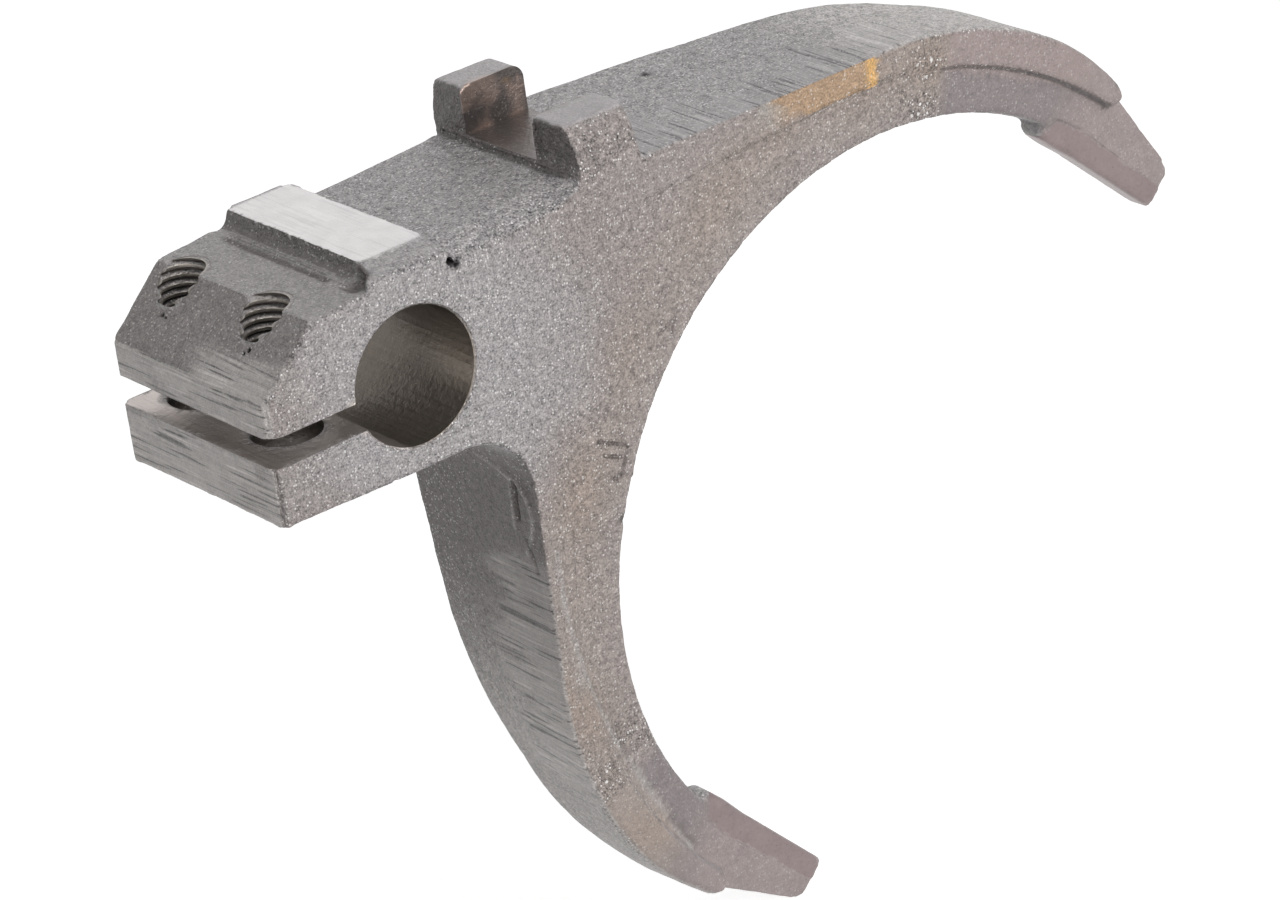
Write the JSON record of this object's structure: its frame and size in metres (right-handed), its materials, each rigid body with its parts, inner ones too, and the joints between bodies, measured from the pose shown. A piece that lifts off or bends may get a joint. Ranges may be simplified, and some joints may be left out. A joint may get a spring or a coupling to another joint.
{
  "type": "shift fork",
  "caption": "Cast gearbox shift fork: a split clamp hub for a shift rail, a selector notch on its back and a C-shaped fork with contact pads at its tips.",
  "frame": {"origin": "on the rail bore's axis, at the hub's front face", "axes": "+Y along the rail from the front face to the back, +Z from the clamping slit to the machined pad, +X along the slit from the jaws towards the fork"},
  "size_m": [0.1973, 0.0433, 0.1586],
  "materials": {
    "cast_steel": "shot-blasted casting, machined on the pad, slot, bore, jaws and contact pads"
  },
  "bodies": {
    "root": {"shift_fork": "cast_steel"}
  },
  "joints": []
}
